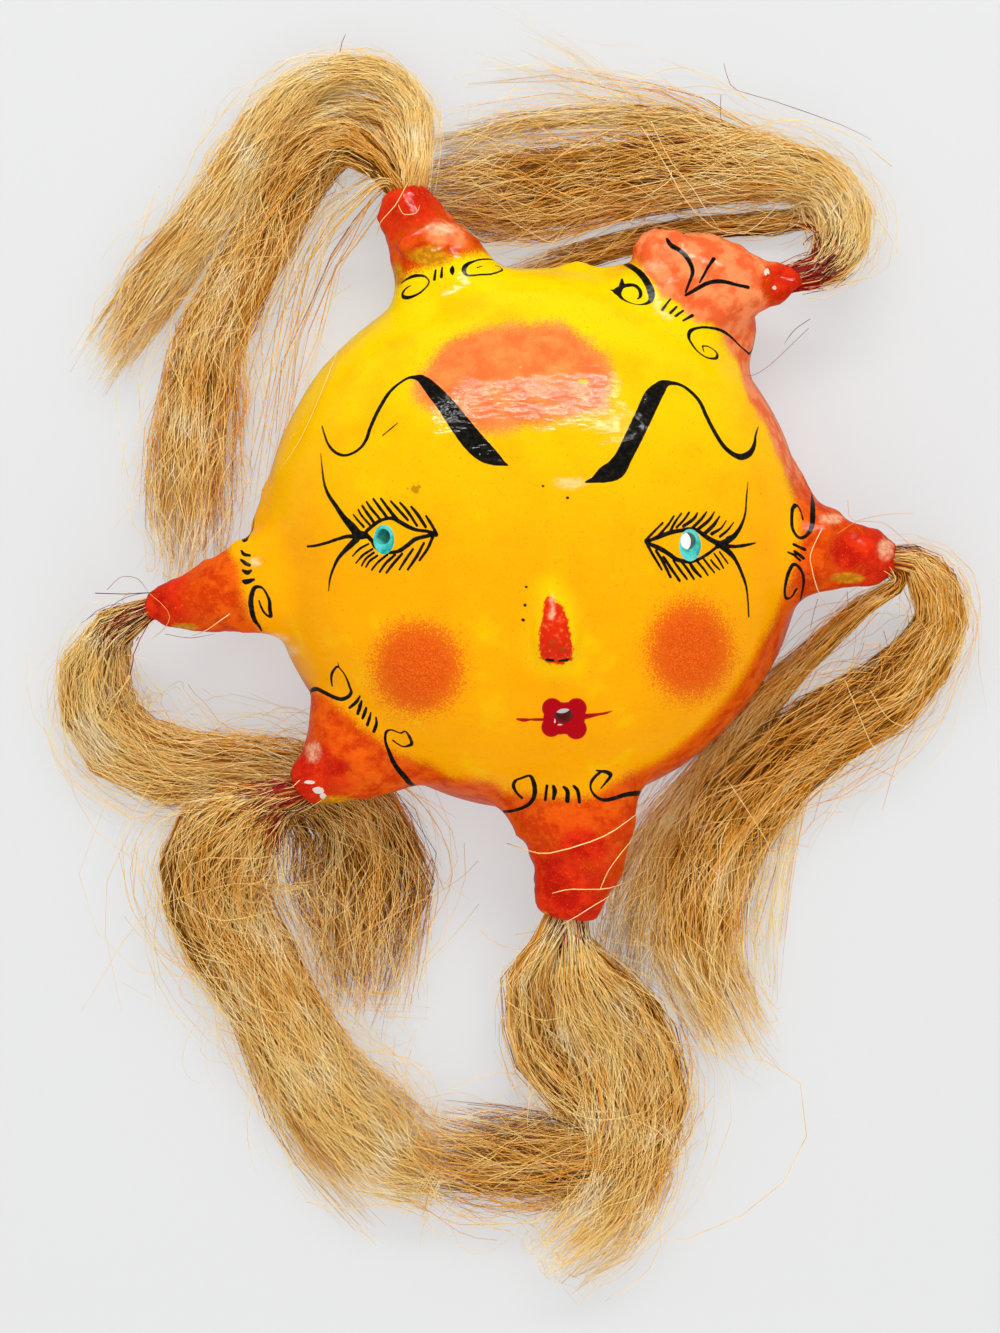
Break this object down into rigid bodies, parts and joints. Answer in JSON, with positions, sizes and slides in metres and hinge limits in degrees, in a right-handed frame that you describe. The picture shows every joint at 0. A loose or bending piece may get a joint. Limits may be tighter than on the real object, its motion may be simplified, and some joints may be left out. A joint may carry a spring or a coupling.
{
  "type": "coconut shell sun mask",
  "caption": "Painted sun face made from half a coconut shell, with stubby paste rays around its edge and a hank of pale plant fibre set into the tip of each.",
  "frame": {"origin": "centre of the whole mask's box in x and y, on the plane that the sawn rim and the hanks rest on", "axes": "+Z out of the face, +Y towards the top of the face, +X to the right as one looks at the face"},
  "size_m": [0.2044, 0.2759, 0.0581],
  "materials": {
    "painted_shell": "glossy brushed and sprayed paint on coconut shell and modelled paste",
    "agave_fibre": "loose pale agave fibre, slightly glossy"
  },
  "bodies": {
    "root": {"mask_body": "painted_shell", "tassel_upper_left": "agave_fibre", "tassel_upper_right": "agave_fibre", "tassel_right": "agave_fibre", "tassel_bottom": "agave_fibre", "tassel_lower_left": "agave_fibre", "tassel_left": "agave_fibre"}
  },
  "joints": []
}
